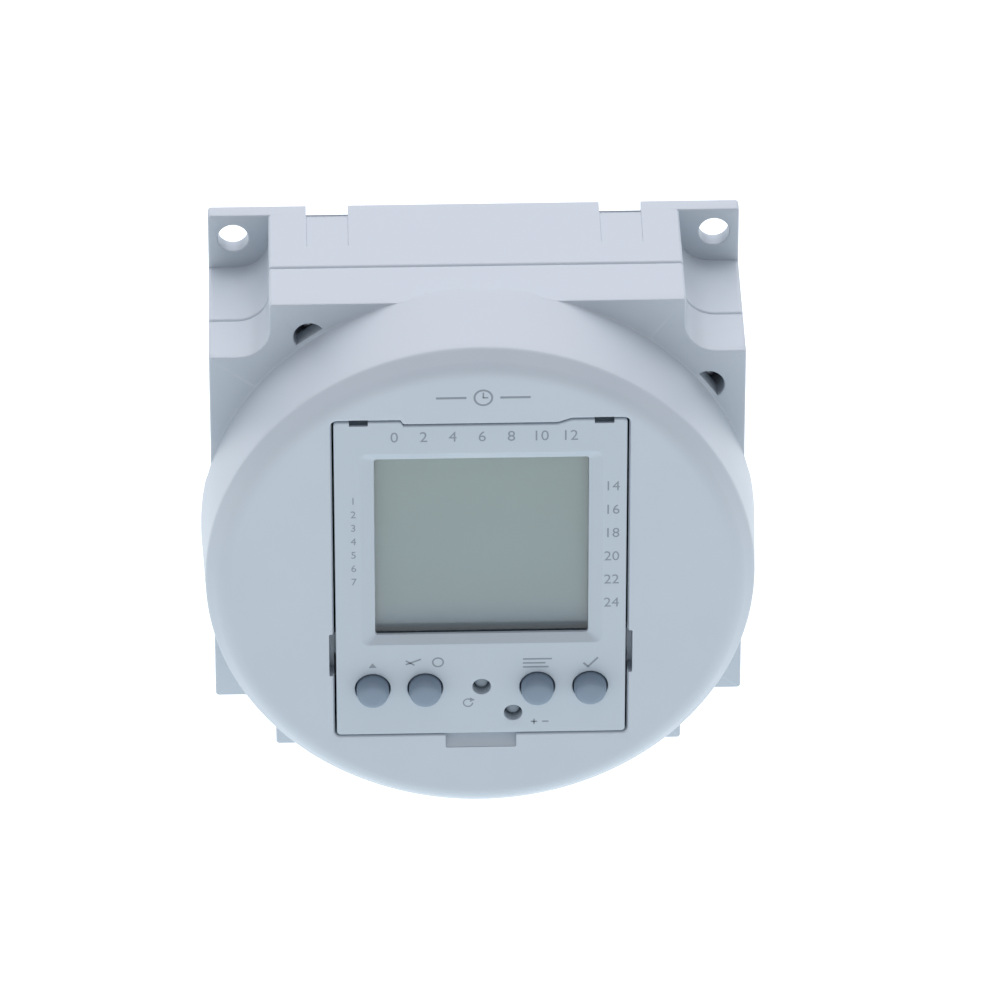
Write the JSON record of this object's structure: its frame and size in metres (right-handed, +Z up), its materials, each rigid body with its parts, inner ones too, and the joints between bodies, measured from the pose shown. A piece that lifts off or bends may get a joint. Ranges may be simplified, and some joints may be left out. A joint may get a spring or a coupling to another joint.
{
  "type": "din rail timer",
  "caption": "Digital time switch: square case with a round front, display insert with four push keys, screw ears and a rear channel for a 35 mm rail.",
  "frame": {"origin": "middle of the rail seat, the floor of the channel across the back", "axes": "+Z up along the case, +X to the right seen from the front, +Y out of the back; the front looks along -Y"},
  "size_m": [0.0688, 0.0382, 0.0756],
  "materials": {
    "moulded_grey": "pale blue-grey moulded plastic, fine spark-eroded texture",
    "panel_grey": "pale blue-grey moulded plastic, smoother, printed",
    "latch_black": "black acetal",
    "spring_steel": "bright spring wire and strip",
    "screw_steel": "zinc plated",
    "key_grey": "blue-grey key caps, satin",
    "pin_grey": "dark grey recessed pins",
    "switch_black": "black switch bodies",
    "clear_window": "clear polycarbonate, polished",
    "display_glass": "grey-green polarised glass",
    "reflector_foil": "satin reflector",
    "black_moulding": "black glass filled polyamide",
    "contact_elastomer": "layered conductive silicone",
    "board_laminate": "green solder resist on glass fibre laminate",
    "chip_epoxy": "moulded epoxy",
    "cell_steel": "nickel plated steel",
    "header_tin": "tinned brass",
    "relay_clear": "smoky clear cover",
    "enamelled_copper": "enamelled copper winding",
    "relay_iron": "soft iron, zinc plated",
    "capacitor_case": "yellow film capacitor case",
    "capacitor_sleeve": "shrunk sleeve",
    "component_lacquer": "lacquered ceramic",
    "tinned_brass": "tinned brass tabs"
  },
  "bodies": {
    "case": {"front_shell": "moulded_grey", "rear_housing": "moulded_grey", "rear_cover": "moulded_grey", "panel_frame": "panel_grey", "latch_spring": "spring_steel", "battery_contact": "spring_steel", "case_screw_1": "screw_steel", "case_screw_2": "screw_steel", "case_screw_3": "screw_steel", "case_screw_4": "screw_steel", "up_switch": "switch_black", "override_switch": "switch_black", "menu_switch": "switch_black", "ok_switch": "switch_black", "reset_switch": "switch_black", "hour_shift_switch": "switch_black", "lcd_window": "clear_window", "lcd_cell": "display_glass", "lcd_reflector": "reflector_foil", "lcd_holder": "black_moulding", "battery_holder": "black_moulding", "pin_socket": "black_moulding", "relay_base": "black_moulding", "contact_strip_top": "contact_elastomer", "contact_strip_bottom": "contact_elastomer", "logic_board": "board_laminate", "power_board": "board_laminate", "microcontroller": "chip_epoxy", "rectifier": "chip_epoxy", "backup_battery": "cell_steel", "clock_crystal": "cell_steel", "pin_header": "header_tin", "relay_fixed_contact": "header_tin", "relay_cover": "relay_clear", "relay_coil": "enamelled_copper", "relay_yoke": "relay_iron", "dropper_capacitor": "capacitor_case", "smoothing_capacitor": "capacitor_sleeve", "varistor": "component_lacquer", "fuse_resistor": "component_lacquer", "tab_terminal_1": "tinned_brass", "tab_terminal_2": "tinned_brass", "tab_terminal_3": "tinned_brass", "tab_terminal_4": "tinned_brass", "tab_terminal_5": "tinned_brass"},
    "up_key": {"up_button": "key_grey"},
    "override_key": {"override_button": "key_grey"},
    "menu_key": {"menu_button": "key_grey"},
    "ok_key": {"ok_button": "key_grey"},
    "reset_key": {"reset_pin": "pin_grey"},
    "hour_shift_key": {"hour_shift_pin": "pin_grey"},
    "latch": {"rail_latch": "latch_black"},
    "armature": {"relay_armature": "relay_iron", "relay_contact_arm": "header_tin"}
  },
  "joints": [
    {"name": "up_press", "type": "slide", "parent": "case", "child": "up_key", "axis": [0, 1, 0], "range_m": [0, 0.0008], "stiffness_N_per_m": 900, "springref_m": -0.0002},
    {"name": "override_press", "type": "slide", "parent": "case", "child": "override_key", "axis": [0, 1, 0], "range_m": [0, 0.0008], "stiffness_N_per_m": 900, "springref_m": -0.0002},
    {"name": "menu_press", "type": "slide", "parent": "case", "child": "menu_key", "axis": [0, 1, 0], "range_m": [0, 0.0008], "stiffness_N_per_m": 900, "springref_m": -0.0002},
    {"name": "ok_press", "type": "slide", "parent": "case", "child": "ok_key", "axis": [0, 1, 0], "range_m": [0, 0.0008], "stiffness_N_per_m": 900, "springref_m": -0.0002},
    {"name": "reset_press", "type": "slide", "parent": "case", "child": "reset_key", "axis": [0, 1, 0], "range_m": [0, 0.0008], "stiffness_N_per_m": 900, "springref_m": -0.0002},
    {"name": "hour_shift_press", "type": "slide", "parent": "case", "child": "hour_shift_key", "axis": [0, 1, 0], "range_m": [0, 0.0008], "stiffness_N_per_m": 900, "springref_m": -0.0002},
    {"name": "rail_latch_pull", "type": "slide", "parent": "case", "child": "latch", "axis": [0, 0, -1], "range_m": [0, 0.0025], "stiffness_N_per_m": 2000, "springref_m": -0.0012, "deforming": ["latch_spring"]},
    {"name": "relay_armature_swing", "type": "hinge", "parent": "case", "child": "armature", "pos_m": [-0.024, -0.0194, 0.0009], "axis": [1, 0, 0], "range_deg": [0, 4], "stiffness_Nm_per_rad": 0.02, "springref_deg": -2.86}
  ]
}
